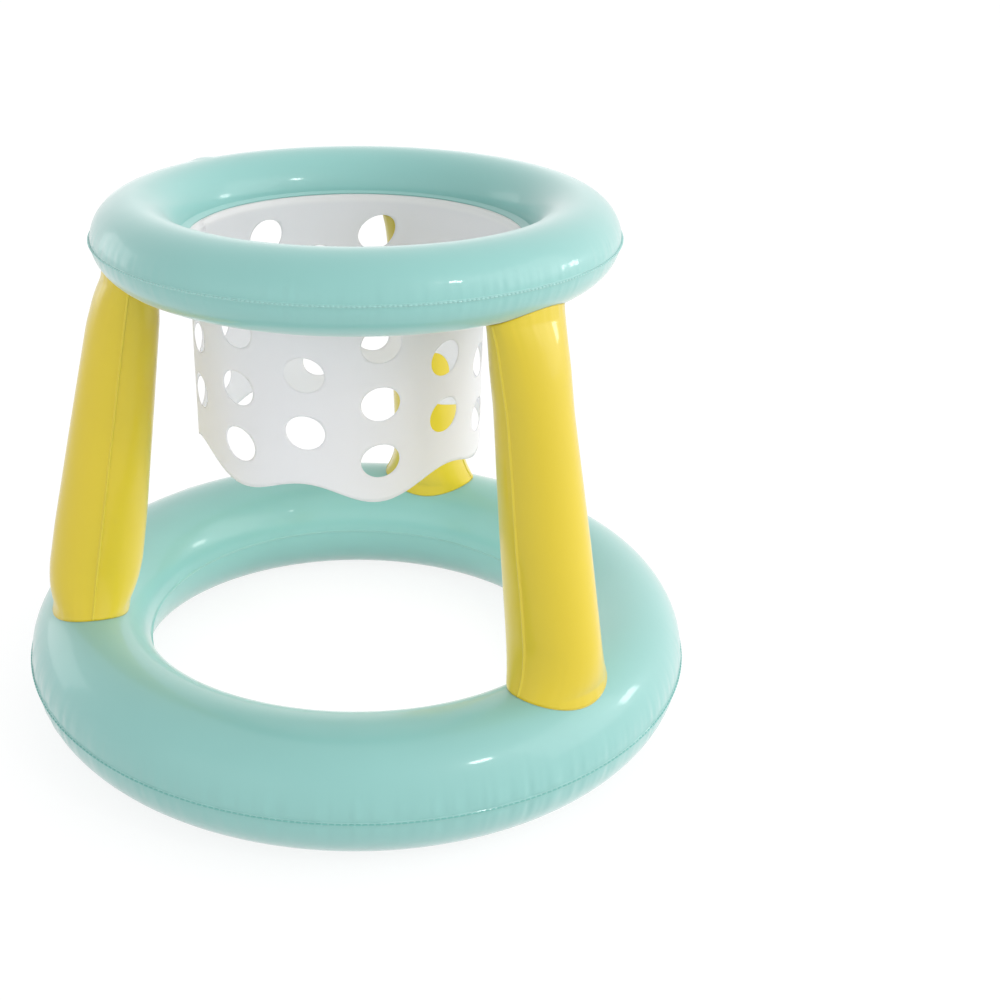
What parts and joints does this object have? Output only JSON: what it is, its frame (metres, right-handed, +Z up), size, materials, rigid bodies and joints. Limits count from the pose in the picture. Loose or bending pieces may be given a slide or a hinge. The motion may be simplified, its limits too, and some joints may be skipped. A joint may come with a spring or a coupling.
{
  "type": "floating basketball hoop",
  "caption": "Inflatable floating basketball hoop: a large base ring, three leaning legs, a smaller top ring and a perforated sheet sleeve as its net, with push-in valves.",
  "frame": {"origin": "on the surface the hoop rests on, under the middle of the base ring", "axes": "+Z up through the hoop; +Y towards the rear leg"},
  "size_m": [0.67, 0.67, 0.5165],
  "materials": {
    "aqua_film": "gloss",
    "yellow_film": "gloss",
    "white_film": "satin",
    "clear_vinyl": "satin"
  },
  "bodies": {
    "hoop": {"base_ring_upper_sheet": "aqua_film", "base_ring_lower_sheet": "aqua_film", "top_ring_upper_sheet": "aqua_film", "top_ring_lower_sheet": "aqua_film", "leg_1_outer_panel": "yellow_film", "leg_1_inner_panel": "yellow_film", "leg_1_foot_weld_collar": "yellow_film", "leg_1_head_weld_collar": "yellow_film", "leg_2_outer_panel": "yellow_film", "leg_2_inner_panel": "yellow_film", "leg_2_foot_weld_collar": "yellow_film", "leg_2_head_weld_collar": "yellow_film", "leg_3_outer_panel": "yellow_film", "leg_3_inner_panel": "yellow_film", "leg_3_foot_weld_collar": "yellow_film", "leg_3_head_weld_collar": "yellow_film", "net_sleeve": "white_film", "base_valve_boss": "clear_vinyl", "top_valve_boss": "clear_vinyl"},
    "base_valve_stem": {"base_valve_stem": "clear_vinyl"},
    "base_valve_stopper": {"base_valve_stopper": "clear_vinyl"},
    "base_valve_flap": {"base_valve_flap": "clear_vinyl"},
    "top_valve_stem": {"top_valve_stem": "clear_vinyl"},
    "top_valve_stopper": {"top_valve_stopper": "clear_vinyl"},
    "top_valve_flap": {"top_valve_flap": "clear_vinyl"}
  },
  "joints": [
    {"name": "base_valve_pull", "type": "slide", "parent": "hoop", "child": "base_valve_stem", "axis": [-0.7083, 0.434, 0.5568], "range_m": [0, 0.0128]},
    {"name": "base_stopper_hinge", "type": "hinge", "parent": "base_valve_stem", "child": "base_valve_stopper", "pos_m": [-0.2725, 0.17579, 0.09473], "axis": [-0.4747, 0.2909, -0.8307], "range_deg": [0, 150]},
    {"name": "base_flap_hinge", "type": "hinge", "parent": "base_valve_stem", "child": "base_valve_flap", "pos_m": [-0.26156, 0.16486, 0.08465], "axis": [0.4747, -0.2909, 0.8307], "range_deg": [0, 70], "stiffness_Nm_per_rad": 0.00005, "springref_deg": -17.19},
    {"name": "top_valve_pull", "type": "slide", "parent": "hoop", "child": "top_valve_stem", "axis": [-0.6718, 0.3133, 0.6712], "range_m": [0, 0.0128]},
    {"name": "top_stopper_hinge", "type": "hinge", "parent": "top_valve_stem", "child": "top_valve_stopper", "pos_m": [-0.20911, 0.10579, 0.50526], "axis": [-0.6083, 0.2836, -0.7413], "range_deg": [0, 150]},
    {"name": "top_flap_hinge", "type": "hinge", "parent": "top_valve_stem", "child": "top_valve_flap", "pos_m": [-0.19847, 0.09685, 0.49311], "axis": [0.6083, -0.2836, 0.7413], "range_deg": [0, 70], "stiffness_Nm_per_rad": 0.00005, "springref_deg": -17.19}
  ]
}
